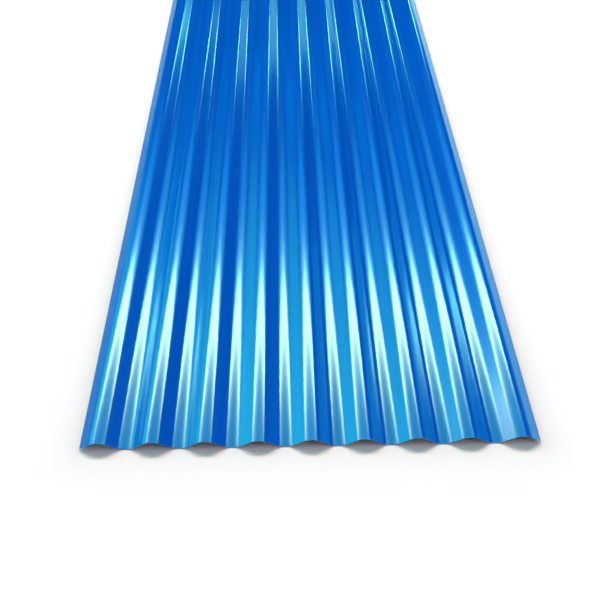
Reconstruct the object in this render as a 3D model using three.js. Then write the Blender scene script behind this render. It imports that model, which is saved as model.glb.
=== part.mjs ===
// Corrugated roofing and cladding sheet: one strip of coated steel, roll formed into even round
// waves and sheared to length. Units are millimetres. +Z is up, the waves run along Y and are
// counted across X, and the undersides of the valleys lie on z = 0.

import * as THREE from 'three';

// Driving dimensions
const sheetLength = 2440;
const sheetWidth = 665;
const crestCount = 9;
const pitch = 76.2; // from one crest to the next
const profileDepth = 18; // from the underside of a valley to the top of a crest
const thickness = 0.5; // steel with its zinc and paint
const bendRadius = 22; // of every crest and valley, at mid thickness
const bendSteps = 10; // facets in a bend; an even number leaves a level facet on each crest and valley

// Worked out from them
const halfPitch = pitch / 2;
const bendCount = 2 * crestCount - 1; // crests and valleys by turns, a crest at each side
const flankAngle = slopeBetweenBends(halfPitch, profileDepth - thickness, bendRadius);
const stepAngle = (2 * flankAngle) / bendSteps;
const crestCentreZ = profileDepth - thickness / 2 - bendRadius;
const valleyCentreZ = thickness / 2 + bendRadius;

// Slope of the straight flank that touches two bends of the same radius, one up and one down,
// whose middles are run apart across the sheet and rise apart in height.
function slopeBetweenBends(run, rise, radius) {
  const across = 2 * radius - rise;
  return Math.atan2(run, across) - Math.acos((2 * radius) / Math.hypot(run, across));
}

// One face of one crest or valley, from left to right. The offset is measured upwards from mid
// thickness. Every facet touches the true arc, and the first and last run on into the flanks.
function bend(index, offset) {
  const isCrest = index % 2 === 0;
  const turn = isCrest ? 1 : -1;
  const centreX = (index - (bendCount - 1) / 2) * halfPitch;
  const centreZ = isCrest ? crestCentreZ : valleyCentreZ;
  const cornerRadius = (bendRadius + turn * offset) / Math.cos(stepAngle / 2);
  const points = [];
  for (let corner = 0; corner < bendSteps; corner++) {
    const angle = (corner + 0.5) * stepAngle - flankAngle;
    const x = centreX + cornerRadius * Math.sin(angle);
    const z = centreZ + turn * cornerRadius * Math.cos(angle);
    points.push(new THREE.Vector2(x, z));
  }
  return points;
}

// A corner of the slit edge, where the strip ends square on the flank outside the last crest.
// The side is -1 on the left and 1 on the right.
function edgeCorner(side, offset) {
  const outerCrestX = (crestCount - 1) * halfPitch;
  const edgeX = sheetWidth / 2 - (thickness / 2) * Math.sin(flankAngle);
  const run = edgeX - outerCrestX - bendRadius * Math.sin(flankAngle);
  const edgeZ = crestCentreZ + bendRadius * Math.cos(flankAngle) - run * Math.tan(flankAngle);
  const x = side * (edgeX + offset * Math.sin(flankAngle));
  const z = edgeZ + offset * Math.cos(flankAngle);
  return new THREE.Vector2(x, z);
}

// The whole upper or lower face of the section, from the left edge to the right one.
function face(offset) {
  const points = [edgeCorner(-1, offset)];
  for (let index = 0; index < bendCount; index++) {
    points.push(...bend(index, offset));
  }
  points.push(edgeCorner(1, offset));
  return points;
}

// The section is drawn upright in X and Y, extruded, and turned so that the waves run along Y.
function sheetGeometry() {
  const upperFace = face(thickness / 2);
  const lowerFace = face(-thickness / 2);
  const section = new THREE.Shape([...upperFace, ...lowerFace.reverse()]);
  const geometry = new THREE.ExtrudeGeometry(section, { depth: sheetLength, bevelEnabled: false });
  geometry.rotateX(Math.PI / 2);
  geometry.translate(0, sheetLength / 2, 0);
  return geometry;
}

const blueCoilCoat = new THREE.MeshStandardMaterial({
  color: 0x0352c2,
  roughness: 0.22,
  metalness: 0,
});

const sheet = new THREE.Mesh(sheetGeometry(), blueCoilCoat);
sheet.name = 'corrugated_sheet';

const group = new THREE.Group();
group.add(sheet);

export default group;
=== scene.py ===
"""Blue coil-coated corrugated sheet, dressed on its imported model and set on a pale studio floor."""

import math

import bpy
from mathutils import Matrix, Vector, noise


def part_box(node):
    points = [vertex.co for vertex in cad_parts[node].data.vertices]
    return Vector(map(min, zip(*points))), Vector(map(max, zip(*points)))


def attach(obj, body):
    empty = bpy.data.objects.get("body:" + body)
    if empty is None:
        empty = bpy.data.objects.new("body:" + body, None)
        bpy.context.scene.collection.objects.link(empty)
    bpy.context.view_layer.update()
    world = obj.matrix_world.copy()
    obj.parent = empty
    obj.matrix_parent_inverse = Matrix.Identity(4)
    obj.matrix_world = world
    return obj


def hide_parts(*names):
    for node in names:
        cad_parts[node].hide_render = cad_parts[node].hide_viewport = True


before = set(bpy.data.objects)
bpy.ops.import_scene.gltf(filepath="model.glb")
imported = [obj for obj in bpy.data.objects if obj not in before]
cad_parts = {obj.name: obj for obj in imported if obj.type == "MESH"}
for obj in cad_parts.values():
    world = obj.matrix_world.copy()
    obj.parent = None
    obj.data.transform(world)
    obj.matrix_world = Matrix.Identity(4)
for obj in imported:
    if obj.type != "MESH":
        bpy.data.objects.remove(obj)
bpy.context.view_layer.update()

bl_info = {
    "name": "Coil-Coated Corrugated Sheet",
    "version": (1, 0, 0),
    "blender": (4, 5, 0),
    "location": "3D View > Sidebar > Sheet",
    "description": "Builds a painted corrugated roofing sheet and the studio around it",
    "category": "Add Mesh",
}

NODE = "corrugated_sheet"
SHEET_LOW, SHEET_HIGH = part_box(NODE)
PICTURE_SIDE = 600  # pixels, the frame that the camera's focal length is given for


# Colours and shader nodes


def linear(colour):
    """The linear red, green and blue of an sRGB hex colour."""
    channels = [int(colour[start:start + 2], 16) / 255 for start in (1, 3, 5)]
    return [c / 12.92 if c <= 0.04045 else ((c + 0.055) / 1.055) ** 2.4 for c in channels]


def add_node(tree, kind, inputs=(), **settings):
    """Adds a node. Inputs pairs a socket's name or number with a value, or with an output to link."""
    node = tree.nodes.new(kind)
    for name, value in settings.items():
        setattr(node, name, value)
    for socket, value in dict(inputs).items():
        if isinstance(value, bpy.types.NodeSocket):
            tree.links.new(value, node.inputs[socket])
        else:
            node.inputs[socket].default_value = value
    return node


def new_material(name):
    """An empty node material and its tree."""
    material = bpy.data.materials.new(name)
    material.use_nodes = True
    material.node_tree.nodes.clear()
    return material, material.node_tree


def finish_material(tree, shader):
    add_node(tree, "ShaderNodeOutputMaterial", {"Surface": shader.outputs[0]})


def stretched_noise(tree, across, along, detail):
    """Noise whose grains are this far apart across and along the sheet, in metres."""
    place = add_node(tree, "ShaderNodeTexCoord").outputs["Object"]
    scale = (1 / across, 1 / along, 1 / across)
    mapped = add_node(tree, "ShaderNodeMapping", {"Vector": place, "Scale": scale})
    settings = {"Vector": mapped.outputs[0], "Scale": 1.0, "Detail": detail, "Roughness": 0.55}
    return add_node(tree, "ShaderNodeTexNoise", settings).outputs["Fac"]


# The sheet


class SheetSettings(bpy.types.PropertyGroup):
    crests: bpy.props.IntProperty(
        name="Crests", description="Waves that stand up across the sheet", default=9, min=2)
    pitch: bpy.props.FloatProperty(
        name="Pitch", description="From one crest to the next",
        default=0.0762, unit="LENGTH", precision=4)
    bend_radius: bpy.props.FloatProperty(
        name="Bend Radius", description="Of every crest and valley, at mid thickness",
        default=0.022, unit="LENGTH", precision=4)
    thickness: bpy.props.FloatProperty(
        name="Thickness", description="Steel with its zinc and paint",
        default=0.0005, unit="LENGTH", precision=4)
    waviness: bpy.props.FloatProperty(
        name="Waviness", description="How far the rolled surface strays up or down",
        default=0.0002, unit="LENGTH", precision=4)
    topcoat: bpy.props.FloatVectorProperty(
        name="Topcoat", description="Colour of the weather side",
        default=linear("#0359C8"), subtype="COLOR", min=0, max=1)
    topcoat_worn: bpy.props.FloatVectorProperty(
        name="Topcoat, Paler", description="Colour where the film is a little thinner",
        default=linear("#0461D0"), subtype="COLOR", min=0, max=1)
    backing: bpy.props.FloatVectorProperty(
        name="Backing Coat", description="Colour of the hidden side",
        default=linear("#C6CACB"), subtype="COLOR", min=0, max=1)
    cut_steel: bpy.props.FloatVectorProperty(
        name="Cut Steel", description="Colour of the sheared ends and slit edges",
        default=linear("#A3A8AB"), subtype="COLOR", min=0, max=1)


BEND_PARTS = 14
FLANK_STOPS = (0.05, 0.35, 0.65, 0.95)  # rows close to the bends keep the flank's shading flat
STATION_GAP = 0.0225  # metres between the rows of points along the sheet
WAVE_ACROSS = 0.13  # metres across the sheet between one swell of the surface and the next
WAVE_ALONG = 0.30  # metres along the sheet between them
SWELL_LAYER = 0.37  # which layer of the noise is used
SHARP_ANGLE = math.radians(40)  # steeper edges, round the cut rim, are shaded sharp


def flank_angle(settings, rise):
    """Slope of the straight flank that touches a crest and a valley of the same radius."""
    run = settings.pitch / 2
    diameter = 2 * settings.bend_radius
    across = diameter - rise
    return math.atan2(run, across) - math.acos(diameter / math.hypot(run, across))


def bend_points(settings, index, slope, centres):
    """Points and upward normals over one crest or valley, from left to right."""
    crest = index % 2 == 0
    turn = 1 if crest else -1
    centre_x = (index - (settings.crests - 1)) * settings.pitch / 2
    points = []
    for part in range(BEND_PARTS + 1):
        angle = slope * (2 * part / BEND_PARTS - 1)
        across, up = math.sin(angle), turn * math.cos(angle)
        place = Vector((centre_x + settings.bend_radius * across,
                        centres[crest] + settings.bend_radius * up))
        points.append((place, turn * Vector((across, up))))
    return points


def edge_point(settings, side, bend, slope, half_width):
    """Where the strip ends on the flank outside its last crest: -1 is the left side, 1 the right."""
    place, normal = bend
    mid_half_width = half_width - settings.thickness / 2 * math.sin(slope)
    run = mid_half_width - abs(place.x)
    return Vector((side * mid_half_width, place.y - run * math.tan(slope))), normal


def along_flank(first, last):
    """Points on the straight between two bends."""
    return [(first[0].lerp(last[0], stop), first[1]) for stop in FLANK_STOPS]


def section_line(settings):
    """The sheet's section at mid thickness, left to right, as points in X and Z with normals."""
    inset = settings.waviness
    depth = SHEET_HIGH.z - SHEET_LOW.z - settings.thickness - 2 * inset
    low = SHEET_LOW.z + settings.thickness / 2 + inset
    centres = {True: low + depth - settings.bend_radius, False: low + settings.bend_radius}
    slope = flank_angle(settings, depth)
    bends = [bend_points(settings, index, slope, centres) for index in range(2 * settings.crests - 1)]
    half_width = SHEET_HIGH.x - inset
    left = edge_point(settings, -1, bends[0][0], slope, half_width)
    right = edge_point(settings, 1, bends[-1][-1], slope, half_width)
    line = [left] + along_flank(left, bends[0][0])
    for bend, following in zip(bends, bends[1:]):
        line += bend + along_flank(bend[-1], following[0])
    return line + bends[-1] + along_flank(bends[-1][-1], right) + [right]


def swell(settings, x, y):
    """How far the surface strays from its true height at a place, in metres."""
    return settings.waviness * noise.noise(Vector((x / WAVE_ACROSS, y / WAVE_ALONG, SWELL_LAYER)))


def sheet_mesh(settings):
    """The sheet as one closed body: painted face, backing face and the cut rim between them."""
    line = section_line(settings)
    length = SHEET_HIGH.y - SHEET_LOW.y
    stations = round(length / STATION_GAP)
    points = []
    for side in (1, -1):
        for station in range(stations + 1):
            y = SHEET_LOW.y + length * station / stations
            for place, normal in line:
                flat = place + normal * side * settings.thickness / 2
                points.append((flat.x, y, flat.y + swell(settings, place.x, y)))
    row = len(line)
    face = row * (stations + 1)

    def at(side, station, step):
        return side * face + station * row + step

    quads, materials = [], []

    def add_quad(corners, material):
        quads.append(corners)
        materials.append(material)

    for station in range(stations):
        for step in range(row - 1):
            around = [at(0, station, step), at(0, station, step + 1),
                      at(0, station + 1, step + 1), at(0, station + 1, step)]
            add_quad(around, 0)
            add_quad([corner + face for corner in reversed(around)], 1)
        for step, turn in ((0, 1), (row - 1, -1)):
            rim = [at(0, station, step), at(0, station + 1, step),
                   at(1, station + 1, step), at(1, station, step)]
            add_quad(rim[::turn], 2)
    for step in range(row - 1):
        for station, turn in ((0, 1), (stations, -1)):
            rim = [at(0, station, step), at(1, station, step),
                   at(1, station, step + 1), at(0, station, step + 1)]
            add_quad(rim[::turn], 2)

    mesh = bpy.data.meshes.new("painted_sheet")
    mesh.from_pydata(points, [], quads)
    mesh.polygons.foreach_set("material_index", materials)
    mesh.polygons.foreach_set("use_smooth", [True] * len(quads))
    mesh.set_sharp_from_angle(angle=SHARP_ANGLE)
    mesh.update()
    return mesh


def polyester_topcoat(settings):
    """Polyester topcoat, roller-coated on the flat coil and oven-cured before the sheet is rolled.

    It gives the eye a deep, even blue under a wet-looking gloss. The clear top of the film takes
    the red out of what the pigment below it mirrors, so a lamp shows cyan at its edges and turns
    white only at its core. The tints and indices are set for that look under this studio's lamps,
    and aren't measured ones.
    """
    material, tree = new_material("blue_polyester_coil_coat")
    streaks = stretched_noise(tree, across=0.012, along=0.9, detail=3.0)
    clouds = stretched_noise(tree, across=0.25, along=0.4, detail=2.0)
    film = add_node(tree, "ShaderNodeMath", {0: streaks, 1: clouds}, operation="MULTIPLY")
    thin = add_node(tree, "ShaderNodeMapRange", {0: film.outputs[0], 1: 0.15, 2: 0.40})
    # a colour mix takes its two colours at sockets 6 and 7 and gives its result at socket 2
    colour = add_node(tree, "ShaderNodeMix", {
        0: thin.outputs[0],
        6: (*settings.topcoat, 1),
        7: (*settings.topcoat_worn, 1),
    }, data_type="RGBA")
    dull = add_node(tree, "ShaderNodeMapRange", {0: streaks, 1: 0.3, 2: 0.7, 3: 0.15, 4: 0.19})
    peel = stretched_noise(tree, across=0.004, along=0.006, detail=1.0)
    skin = add_node(tree, "ShaderNodeBump", {"Strength": 0.05, "Distance": 0.0002, "Height": peel})
    shader = add_node(tree, "ShaderNodeBsdfPrincipled", {
        "Base Color": colour.outputs[2],
        "Roughness": dull.outputs[0],
        "IOR": 2.0,
        "Specular Tint": (0.65, 0.76, 0.6, 1.0),
        "Coat Weight": 1.0,
        "Coat Tint": (0.35, 1.0, 1.0, 1.0),
        "Coat Roughness": 0.10,
        "Coat IOR": 1.23,
        "Normal": skin.outputs[0],
        "Coat Normal": skin.outputs[0],
    })
    finish_material(tree, shader)
    return material


def epoxy_backing(settings):
    """Grey epoxy backing coat, a thin wash on the hidden side that dries nearly matt."""
    material, tree = new_material("grey_epoxy_backing_coat")
    mottle = stretched_noise(tree, across=0.02, along=0.15, detail=3.0)
    dull = add_node(tree, "ShaderNodeMapRange", {0: mottle, 1: 0.3, 2: 0.7, 3: 0.45, 4: 0.60})
    shader = add_node(tree, "ShaderNodeBsdfPrincipled", {
        "Base Color": (*settings.backing, 1),
        "Roughness": dull.outputs[0],
        "IOR": 1.55,
    })
    finish_material(tree, shader)
    return material


def sheared_steel(settings):
    """Galvanised steel where it was sheared: a bright grey line with fine tear marks."""
    material, tree = new_material("sheared_galvanised_steel")
    tear = stretched_noise(tree, across=0.0008, along=0.0008, detail=1.0)
    dull = add_node(tree, "ShaderNodeMapRange", {0: tear, 1: 0.3, 2: 0.7, 3: 0.35, 4: 0.60})
    shader = add_node(tree, "ShaderNodeBsdfPrincipled", {
        "Base Color": (*settings.cut_steel, 1),
        "Metallic": 1.0,
        "Roughness": dull.outputs[0],
    })
    finish_material(tree, shader)
    return material


class SHEET_OT_painted_sheet(bpy.types.Operator):
    """Builds the rolled and painted sheet in place of its plain solid"""

    bl_idname = "sheet.painted_sheet"
    bl_label = "Build Painted Sheet"

    def execute(self, context):
        settings = context.scene.sheet_settings
        mesh = sheet_mesh(settings)
        for material in (polyester_topcoat(settings), epoxy_backing(settings), sheared_steel(settings)):
            mesh.materials.append(material)
        sheet = bpy.data.objects.new("painted_sheet", mesh)
        context.scene.collection.objects.link(sheet)
        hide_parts(NODE)
        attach(sheet, "root")
        return {"FINISHED"}


# The studio


class StudioSettings(bpy.types.PropertyGroup):
    floor_colour: bpy.props.FloatVectorProperty(
        name="Floor", description="Colour of the floor",
        default=linear("#EAECF0"), subtype="COLOR", min=0, max=1)
    fill: bpy.props.FloatProperty(
        name="Fill", description="Light from the backdrop, where white paper is 1", default=0.1, min=0)
    floor_side: bpy.props.FloatProperty(
        name="Floor Side", description="Length of the square floor's side",
        default=80.0, unit="LENGTH")
    key_brightness: bpy.props.FloatProperty(
        name="Key Brightness", description="Of the warm strip bank overhead, where white paper is about 1",
        default=23.5, min=0)
    window_brightness: bpy.props.FloatProperty(
        name="Window Brightness", description="Of the long soft window on the sheet's left",
        default=4.7, min=0)
    fill_brightness: bpy.props.FloatProperty(
        name="Fill Brightness", description="Of the right side panel; the left one has a share of it",
        default=6.4, min=0)
    eye_back: bpy.props.FloatProperty(
        name="Eye Back", description="From the sheet's near end back to the camera",
        default=0.464, unit="LENGTH")
    eye_left: bpy.props.FloatProperty(
        name="Eye Left", description="From the sheet's middle line left to the camera",
        default=0.036, unit="LENGTH")
    eye_height: bpy.props.FloatProperty(
        name="Eye Height", description="Of the camera above the floor",
        default=0.871, unit="LENGTH")
    tilt: bpy.props.FloatProperty(
        name="Tilt", description="How far the camera looks down", default=math.radians(49.6),
        subtype="ANGLE", unit="ROTATION")
    pan: bpy.props.FloatProperty(
        name="Pan", description="How far the camera turns to the left of the sheet's line",
        default=math.radians(-2.0), subtype="ANGLE", unit="ROTATION")
    roll: bpy.props.FloatProperty(
        name="Roll", description="How far the camera leans to the left", default=math.radians(0.8),
        subtype="ANGLE", unit="ROTATION")
    focal_pixels: bpy.props.FloatProperty(
        name="Focal Length", description="In pixels of the picture", default=669.0, min=1)


FLOOR_DROP = 0.0003  # metres; keeps the floor from cutting the valleys that rest on it


def seen_or_mirrored(tree):
    """1 for what the camera sees directly, in a reflection or through glass, and 0 for light."""
    path = add_node(tree, "ShaderNodeLightPath")
    seen = path.outputs["Is Camera Ray"]
    for ray in ("Is Glossy Ray", "Is Transmission Ray"):
        seen = add_node(tree, "ShaderNodeMath", {0: seen, 1: path.outputs[ray]},
                        operation="MAXIMUM").outputs[0]
    return seen


FLOOR_FULL_GLOW = 2.5  # metres beside the sheet; from here on the floor glows as white paper


def painted_floor(studio):
    """Matt white emulsion on a smooth floor. Where it is seen it glows, the more so the farther it
    lies from the sheet, so that it reaches paper white. The glow fades to nothing at the sheet's
    edge and under it, which is painted shade beside and under the sheet on top of its real shadow."""
    material, tree = new_material("matt_white_floor_paint")
    place = add_node(tree, "ShaderNodeTexCoord").outputs["Object"]
    mirrored = add_node(tree, "ShaderNodeVectorMath", {0: place}, operation="ABSOLUTE")
    beyond = add_node(tree, "ShaderNodeVectorMath",
                      {0: mirrored.outputs[0], 1: (SHEET_HIGH.x, SHEET_HIGH.y, 1.0)},
                      operation="SUBTRACT")
    beside = add_node(tree, "ShaderNodeVectorMath", {0: beyond.outputs[0], 1: (0, 0, 0)},
                      operation="MAXIMUM")
    distance = add_node(tree, "ShaderNodeVectorMath", {0: beside.outputs[0]}, operation="LENGTH")
    # the glow climbs from nothing at the sheet's edge: painted shade on the floor right beside and under
    # the sheet
    share = add_node(tree, "ShaderNodeMapRange", {0: distance.outputs["Value"], 2: FLOOR_FULL_GLOW})
    glow = add_node(tree, "ShaderNodeMath", {0: share.outputs[0]}, operation="SQRT")
    lift = add_node(tree, "ShaderNodeMath", {0: seen_or_mirrored(tree), 1: glow.outputs[0]},
                    operation="MULTIPLY")
    shader = add_node(tree, "ShaderNodeBsdfPrincipled", {
        "Base Color": (*studio.floor_colour, 1),
        "Roughness": 0.9,
        "Specular IOR Level": 0.2,
        "Emission Color": (1, 1, 1, 1),
        "Emission Strength": lift.outputs[0],
    })
    finish_material(tree, shader)
    return material


def black_felt():
    """Black felt, which swallows nearly all light."""
    material, tree = new_material("black_felt")
    shader = add_node(tree, "ShaderNodeBsdfPrincipled", {
        "Base Color": (*linear("#14181C"), 1), "Roughness": 1.0, "Specular IOR Level": 0.0})
    finish_material(tree, shader)
    return material


def add_stage_mesh(scene, name, corners, faces, material):
    mesh = bpy.data.meshes.new(name)
    mesh.from_pydata(corners, [], faces)
    mesh.materials.append(material)
    stage = bpy.data.objects.new(name, mesh)
    scene.collection.objects.link(stage)
    return stage


def square(half, z):
    return [(-half, -half, z), (half, -half, z), (half, half, z), (-half, half, z)]


def add_floor(scene, studio):
    corners = square(studio.floor_side / 2, SHEET_LOW.z - FLOOR_DROP)
    add_stage_mesh(scene, "floor", corners, [(0, 1, 2, 3)], painted_floor(studio))


TENT_HALF, TENT_FOOT, TENT_TOP = 38.0, 0.2, 8.4  # metres


def add_tent(scene):
    """A black tent over sheet and lamps, out of the camera's sight and open near the floor. Between
    the lamps the gloss mirrors it, and the paint keeps its full depth of colour."""
    corners = square(TENT_HALF, TENT_FOOT) + square(TENT_HALF, TENT_TOP)
    faces = [(0, 1, 5, 4), (1, 2, 6, 5), (2, 3, 7, 6), (3, 0, 4, 7), (4, 5, 6, 7)]
    tent = add_stage_mesh(scene, "black_tent", corners, faces, black_felt())
    tent.visible_camera = False


def set_room(scene, studio):
    """A white backdrop all round, which gives the sheet only a little light of its own."""
    world = bpy.data.worlds.new("white_backdrop")
    world.use_nodes = True
    scene.world = world
    tree = world.node_tree
    tree.nodes.clear()
    strength = add_node(tree, "ShaderNodeMapRange", {0: seen_or_mirrored(tree), 3: studio.fill, 4: 1.0})
    background = add_node(tree, "ShaderNodeBackground",
                          {"Color": (1, 1, 1, 1), "Strength": strength.outputs[0]})
    add_node(tree, "ShaderNodeOutputWorld", {"Surface": background.outputs[0]})


FADE_POWER = 3.0  # how slowly a soft near side climbs at first
HARD_EDGE = 1e-3  # share of a side that an edge without a fade climbs over


def add_panel(scene, name, place, size, brightness, target=None, colour=(1, 1, 1),
              soft_left=0.0, soft_near=0.0):
    """A soft panel lamp. It faces straight down, or towards a target. Its brightness climbs from
    nothing to the full level over these shares of its length, from its left end as the lamp sees
    it, and of its depth, from its near side."""
    lamp = bpy.data.lights.new(name, "AREA")
    lamp.shape = "RECTANGLE"
    lamp.size, lamp.size_y = size
    lamp.energy = brightness * math.pi * size[0] * size[1]
    lamp.color = colour
    if soft_left or soft_near:
        lamp.use_nodes = True
        tree = lamp.node_tree
        tree.nodes.clear()
        place_on = add_node(tree, "ShaderNodeTexCoord").outputs["UV"]
        axes = add_node(tree, "ShaderNodeSeparateXYZ", {0: place_on})
        across = add_node(tree, "ShaderNodeMapRange", {0: axes.outputs["X"], 2: max(soft_left, HARD_EDGE)})
        away = add_node(tree, "ShaderNodeMapRange", {0: axes.outputs["Y"], 2: max(soft_near, HARD_EDGE)})
        fade = add_node(tree, "ShaderNodeMath", {0: away.outputs[0], 1: FADE_POWER}, operation="POWER")
        share = add_node(tree, "ShaderNodeMath", {0: across.outputs[0], 1: fade.outputs[0]},
                         operation="MULTIPLY")
        glow = add_node(tree, "ShaderNodeEmission", {"Strength": share.outputs[0]})
        add_node(tree, "ShaderNodeOutputLight", {"Surface": glow.outputs[0]})
    panel = bpy.data.objects.new(name, lamp)
    panel.location = place
    if target is not None:
        panel.rotation_euler = (Vector(target) - Vector(place)).to_track_quat("-Z", "Y").to_euler()
    panel.visible_camera = False
    scene.collection.objects.link(panel)


# Places are in metres: x to the right of the sheet's middle line, y ahead of its middle, z up.
# Brightness is that of each lamp's face, where white paper is about 1.

OVERHEAD_LEFT, OVERHEAD_RIGHT = -10.8, 6.5  # ends of every lamp that runs across overhead
OVERHEAD_SOFT = 0.25  # share of the two banks' length that they fade in over, from the left
BANK_NEAR, BANK_FULL, BANK_FAR, BANK_HEIGHT = 3.7, 5.05, 6.35, 8.0
COOL_NEAR, COOL_FULL, COOL_FAR, COOL_HEIGHT, COOL_BRIGHTNESS = 4.8, 5.65, 6.5, 8.05, 11.5
GREEN_NEAR, GREEN_FAR, GREEN_HEIGHT, GREEN_BRIGHTNESS = 2.4, 4.8, 8.15, 1.2
ROOF_NEAR, ROOF_FAR, ROOF_HEIGHT, ROOF_BRIGHTNESS = 5.6, 10.6, 8.1, 1.9

LEFT_WALL, LEFT_WALL_HEIGHT, LEFT_WALL_TALL = -9.9, 4.85, 6.1
LEFT_WINDOW_Y, LEFT_WINDOW_LONG = 7.25, 13.2
LEFT_SKY_Y, LEFT_SKY_LONG, LEFT_SKY_BRIGHTNESS = 15.0, 5.0, 0.65
RIGHT_WINDOW, RIGHT_WINDOW_SIZE, RIGHT_WINDOW_BRIGHTNESS = (12.0, 7.5, 1.95), (8.5, 3.7), 0.8
FAR_WINDOW, FAR_WINDOW_SIZE, FAR_WINDOW_BRIGHTNESS = (5.75, 12.0, 1.95), (1.7, 2.7), 1.15
FAR_LAMP, FAR_LAMP_SIZE, FAR_LAMP_BRIGHTNESS = (4.85, 12.0, 4.75), (0.5, 1.6), 18.0
FILL_X, FILL_Y, FILL_HEIGHT, FILL_SIZE = 7.5, -2.0, 3.8, (4.5, 3.0)
LEFT_FILL_SHARE = 0.6

WARM_LIGHT = (1.0, 0.50, 0.36)  # makes up the red that the film takes out of its own reflections
COOL_LIGHT = (0.05, 0.85, 1.0)  # rims the warm bank with cyan
GREEN_LIGHT = (0.1, 1.0, 0.3)
ROOF_LIGHT = (0.0, 0.42, 1.0)  # deep blue, for the sheen between the highlights
WINDOW_LIGHT = (0.12, 0.85, 0.78)
SKY_LIGHT = (0.0, 0.45, 1.0)
SIDE_LIGHT = (0.10, 0.85, 1.0)
FAR_LIGHT = (0.45, 1.0, 0.85)  # the thin double lines at the far end
FILL_LIGHT = (0.88, 0.86, 1.0)  # nearly white; with the floor's paint it keeps the floor neutral


def add_overhead(scene, name, near, far, height, brightness, colour, full=None):
    """A lamp across overhead, facing down. With a full line it fades in from its near side to
    there, and from the left."""
    middle = ((OVERHEAD_LEFT + OVERHEAD_RIGHT) / 2, (near + far) / 2, height)
    size = (OVERHEAD_RIGHT - OVERHEAD_LEFT, far - near)
    fades = {}
    if full is not None:
        fades = {"soft_left": OVERHEAD_SOFT, "soft_near": (full - near) / (far - near)}
    add_panel(scene, name, middle, size, brightness, colour=colour, **fades)


def add_wall_lamp(scene, name, place, size, brightness, colour, **fades):
    """An upright lamp beside the sheet, facing its long middle plane straight on."""
    add_panel(scene, name, place, size, brightness, target=(0, *place[1:]), colour=colour, **fades)


def add_lamps(scene, studio):
    add_overhead(scene, "strip_bank", BANK_NEAR, BANK_FAR, BANK_HEIGHT, studio.key_brightness,
                 WARM_LIGHT, BANK_FULL)
    add_overhead(scene, "cool_bank", COOL_NEAR, COOL_FAR, COOL_HEIGHT, COOL_BRIGHTNESS,
                 COOL_LIGHT, COOL_FULL)
    add_overhead(scene, "green_panes", GREEN_NEAR, GREEN_FAR, GREEN_HEIGHT, GREEN_BRIGHTNESS,
                 GREEN_LIGHT)
    add_wall_lamp(scene, "left_window", (LEFT_WALL, LEFT_WINDOW_Y, LEFT_WALL_HEIGHT),
                  (LEFT_WINDOW_LONG, LEFT_WALL_TALL), studio.window_brightness, WINDOW_LIGHT,
                  soft_left=1.0)
    add_wall_lamp(scene, "left_sky", (LEFT_WALL, LEFT_SKY_Y, LEFT_WALL_HEIGHT),
                  (LEFT_SKY_LONG, LEFT_WALL_TALL), LEFT_SKY_BRIGHTNESS, SKY_LIGHT)
    add_wall_lamp(scene, "right_window", RIGHT_WINDOW, RIGHT_WINDOW_SIZE, RIGHT_WINDOW_BRIGHTNESS,
                  SIDE_LIGHT)
    add_overhead(scene, "roof_light", ROOF_NEAR, ROOF_FAR, ROOF_HEIGHT, ROOF_BRIGHTNESS, ROOF_LIGHT)
    add_panel(scene, "far_window", FAR_WINDOW, FAR_WINDOW_SIZE, FAR_WINDOW_BRIGHTNESS,
              target=(FAR_WINDOW[0], 0, FAR_WINDOW[2]), colour=FAR_LIGHT)
    add_panel(scene, "far_lamp", FAR_LAMP, FAR_LAMP_SIZE, FAR_LAMP_BRIGHTNESS, target=(0, 0, 0),
              colour=FAR_LIGHT)
    add_panel(scene, "left_fill", (-FILL_X, FILL_Y, FILL_HEIGHT), FILL_SIZE,
              LEFT_FILL_SHARE * studio.fill_brightness, target=(0, 0, 0), colour=FILL_LIGHT)
    add_panel(scene, "right_fill", (FILL_X, FILL_Y, FILL_HEIGHT), FILL_SIZE,
              studio.fill_brightness, target=(0, 0, 0), colour=FILL_LIGHT)


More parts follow.
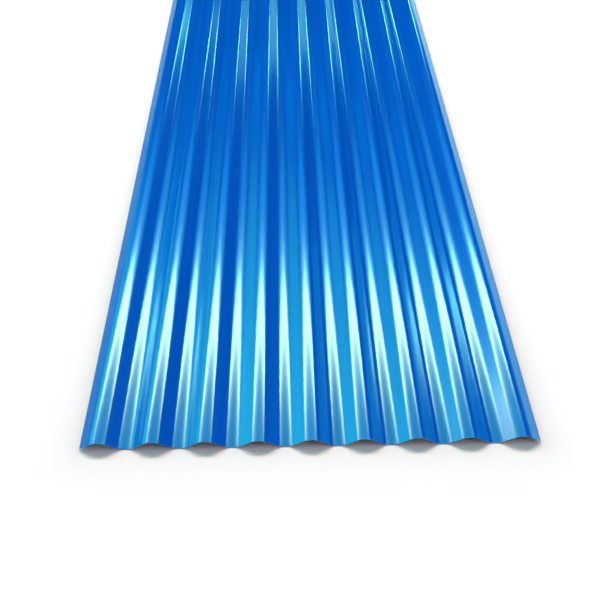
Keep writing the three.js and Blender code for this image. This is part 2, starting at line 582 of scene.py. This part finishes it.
def add_camera(scene, studio):
    camera = bpy.data.cameras.new("camera")
    camera.sensor_width = 36.0
    camera.lens = camera.sensor_width * studio.focal_pixels / PICTURE_SIDE
    eye = bpy.data.objects.new("camera", camera)
    place = Vector((-studio.eye_left, SHEET_LOW.y - studio.eye_back, studio.eye_height))
    turn = Matrix.Rotation(studio.pan, 4, "Z")
    look_down = Matrix.Rotation(math.pi / 2 - studio.tilt, 4, "X")
    lean = Matrix.Rotation(studio.roll, 4, "Z")
    eye.matrix_world = Matrix.Translation(place) @ turn @ look_down @ lean
    scene.collection.objects.link(eye)
    scene.camera = eye


class SHEET_OT_studio(bpy.types.Operator):
    """Sets the floor, the room, the lamps and the camera"""

    bl_idname = "sheet.studio"
    bl_label = "Set Up Studio"

    def execute(self, context):
        scene, studio = context.scene, context.scene.studio_settings
        add_floor(scene, studio)
        add_tent(scene)
        set_room(scene, studio)
        add_lamps(scene, studio)
        add_camera(scene, studio)
        scene.view_settings.view_transform = "Standard"
        return {"FINISHED"}


class SHEET_PT_panel(bpy.types.Panel):
    bl_label = "Corrugated Sheet"
    bl_idname = "SHEET_PT_panel"
    bl_space_type = "VIEW_3D"
    bl_region_type = "UI"
    bl_category = "Sheet"

    def draw(self, context):
        for settings, operator in (
            (context.scene.sheet_settings, SHEET_OT_painted_sheet),
            (context.scene.studio_settings, SHEET_OT_studio),
        ):
            box = self.layout.box()
            for name in settings.__annotations__:
                box.prop(settings, name)
            box.operator(operator.bl_idname)


CLASSES = (SheetSettings, StudioSettings, SHEET_OT_painted_sheet, SHEET_OT_studio, SHEET_PT_panel)


def register():
    for item in CLASSES:
        bpy.utils.register_class(item)
    bpy.types.Scene.sheet_settings = bpy.props.PointerProperty(type=SheetSettings)
    bpy.types.Scene.studio_settings = bpy.props.PointerProperty(type=StudioSettings)


def unregister():
    del bpy.types.Scene.studio_settings
    del bpy.types.Scene.sheet_settings
    for item in reversed(CLASSES):
        bpy.utils.unregister_class(item)


def main():
    register()
    bpy.ops.sheet.painted_sheet()
    bpy.ops.sheet.studio()


if __name__ == "__main__":
    main()
